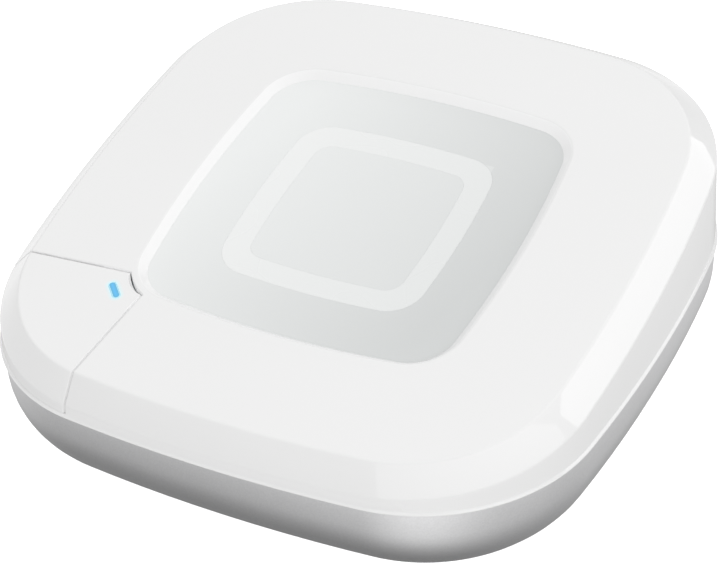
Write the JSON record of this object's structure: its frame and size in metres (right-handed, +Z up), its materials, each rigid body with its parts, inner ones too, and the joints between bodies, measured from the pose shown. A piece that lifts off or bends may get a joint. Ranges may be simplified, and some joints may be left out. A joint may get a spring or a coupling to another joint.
{
  "type": "smart home hub",
  "caption": "Wedge-shaped rounded-square desk hub with a sloped white cover, a shallow dish with a light ring, a lit corner button and sockets in its back.",
  "frame": {"origin": "under the hub's centre, on the surface the feet stand on", "axes": "+X to the right, +Y to the back with the sockets, +Z up"},
  "size_m": [0.14, 0.14, 0.0526],
  "materials": {
    "white_shell": "gloss white",
    "silver_base": "silver grey, soft gloss",
    "dish_plastic": "satin, slightly cool white",
    "ring_diffuser": "satin white diffuser",
    "blue_light_pipe": "clear, lit blue",
    "grey_plastic": "fine texture",
    "black_plastic": "fine texture",
    "rubber": "matt",
    "circuit_board": "green solder mask",
    "steel": "plain",
    "aluminium": "extruded",
    "contact_gold": "plated",
    "lamp": "clear resin over phosphor",
    "battery_film": "shrink film",
    "label_film": "blank film",
    "ribbon": "flat cable film"
  },
  "bodies": {
    "hub": {"base_shell": "silver_base", "top_cover": "white_shell", "button_pivot_pin": "steel", "dish_panel": "dish_plastic", "light_ring": "ring_diffuser", "ring_light_board": "circuit_board", "ring_lamp_1": "lamp", "ring_lamp_2": "lamp", "ring_lamp_3": "lamp", "ring_lamp_4": "lamp", "ring_lamp_5": "lamp", "ring_lamp_6": "lamp", "ring_lamp_7": "lamp", "ring_lamp_8": "lamp", "main_board": "circuit_board", "switch_body": "black_plastic", "status_lamp": "lamp", "processor": "black_plastic", "heatsink": "aluminium", "memory_chip": "black_plastic", "radio_board": "circuit_board", "radio_shield": "steel", "wireless_shield": "steel", "aerial_left": "contact_gold", "aerial_right": "contact_gold", "buzzer": "black_plastic", "ribbon": "ribbon", "ribbon_socket_main": "black_plastic", "ribbon_socket_ring": "black_plastic", "port_bezel": "grey_plastic", "ethernet_jack": "black_plastic", "ethernet_contacts": "contact_gold", "usb_shell": "steel", "usb_tongue": "black_plastic", "power_jack": "black_plastic", "power_pin": "steel", "reset_switch": "black_plastic", "backup_battery": "battery_film", "rating_label": "label_film", "cover_screw_1": "steel", "cover_screw_2": "steel", "cover_screw_3": "steel", "cover_screw_4": "steel", "rubber_foot_1": "rubber", "rubber_foot_2": "rubber", "rubber_foot_3": "rubber", "rubber_foot_4": "rubber"},
    "button": {"corner_button": "white_shell", "button_light_pipe": "blue_light_pipe"},
    "plunger": {"switch_plunger": "grey_plastic"},
    "reset": {"reset_button": "black_plastic"}
  },
  "joints": [
    {"name": "button_pivot", "type": "hinge", "parent": "hub", "child": "button", "pos_m": [-0.05233, -0.05233, 0.027], "axis": [-0.7071, 0.7071, 0], "range_deg": [0, 1.5], "stiffness_Nm_per_rad": 1.5, "springref_deg": -0.57},
    {"name": "plunger_press", "type": "slide", "parent": "hub", "child": "plunger", "axis": [0, 0, -1], "range_m": [0, 0.00035]},
    {"name": "reset_press", "type": "slide", "parent": "hub", "child": "reset", "axis": [0, -1, 0], "range_m": [0, 0.0005], "stiffness_N_per_m": 500, "springref_m": -0.0005}
  ],
  "couplings": [
    {"joint": "plunger_press", "follows": "button_pivot", "m_per_rad": 0.0125}
  ]
}
